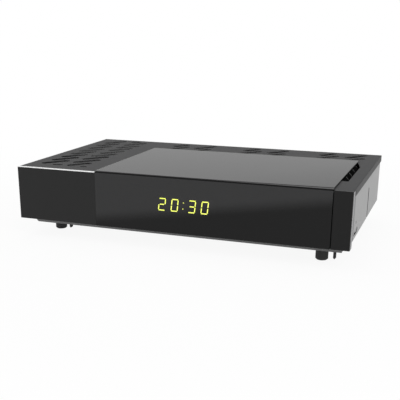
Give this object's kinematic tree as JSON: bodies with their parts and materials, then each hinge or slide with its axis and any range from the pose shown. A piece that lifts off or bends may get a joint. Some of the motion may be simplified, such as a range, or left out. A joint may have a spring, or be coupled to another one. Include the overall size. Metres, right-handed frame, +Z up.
{
  "type": "satellite television receiver",
  "caption": "Low black set-top receiver: steel case with slanted lid vents, a gloss plate wrapping from the front over the lid, a green clock display, rear sockets and a power rocker.",
  "frame": {"origin": "centre of the bounding box on the plane that the feet stand on", "axes": "+X to the viewer's right as the front is faced, +Y from the front panel to the rear sockets, +Z up"},
  "size_m": [0.22, 0.142, 0.0479],
  "materials": {
    "galvanised_sheet": "dull zinc-plated sheet",
    "black_coat": "fine satin powder coat",
    "grey_moulding": "fine matte moulding",
    "dark_block": "satin moulding",
    "piano_black": "polished, slightly see-through to infrared",
    "bright_trim": "bright plated strip",
    "lit_segments": "lit yellow-green",
    "dark_window": "dark filter",
    "circuit_board": "solder resist",
    "grey_cable": "flat grey cable",
    "cream_nylon": "nylon headers",
    "brass_post": "turned brass",
    "zinc_screw": "zinc-plated",
    "tinned_can": "tinned sheet",
    "nickel": "nickel plate",
    "chip_black": "matte epoxy",
    "sink_black": "black anodised",
    "can_sleeve": "shrink sleeve",
    "ferrite": "moulded ferrite",
    "socket_black": "satin moulding",
    "orange_plastic": "satin moulding",
    "foot_rubber": "soft matte"
  },
  "bodies": {
    "receiver": {"chassis_tray": "galvanised_sheet", "rear_panel": "galvanised_sheet", "top_cover": "black_coat", "front_frame": "grey_moulding", "left_front_block": "dark_block", "right_front_strip": "dark_block", "gloss_plate": "piano_black", "chrome_strip": "bright_trim", "display_digits": "lit_segments", "display_module": "dark_window", "display_board": "circuit_board", "infrared_receiver": "dark_window", "ribbon_cable": "grey_cable", "ribbon_headers": "cream_nylon", "main_board": "circuit_board", "board_standoffs": "brass_post", "board_screws": "zinc_screw", "tuner_can": "tinned_can", "satellite_input": "nickel", "satellite_output": "nickel", "connector_nuts": "nickel", "processor_chip": "chip_black", "heat_sink": "sink_black", "memory_chips": "chip_black", "capacitors": "can_sleeve", "power_coils": "ferrite", "scart_socket": "socket_black", "hdmi_socket": "nickel", "usb_socket": "nickel", "coax_body": "orange_plastic", "coax_barrel": "nickel", "power_inlet": "socket_black", "switch_housing": "socket_black", "cover_screws": "zinc_screw", "rear_panel_screws": "zinc_screw", "foot_front_left": "foot_rubber", "foot_front_right": "foot_rubber", "foot_rear_left": "foot_rubber", "foot_rear_right": "foot_rubber"},
    "rocker": {"switch_rocker": "socket_black"}
  },
  "joints": [
    {"name": "rocker_tilt", "type": "hinge", "parent": "receiver", "child": "rocker", "pos_m": [0.093, 0.0593, 0.0275], "axis": [1, 0, 0], "range_deg": [0, 14]}
  ]
}
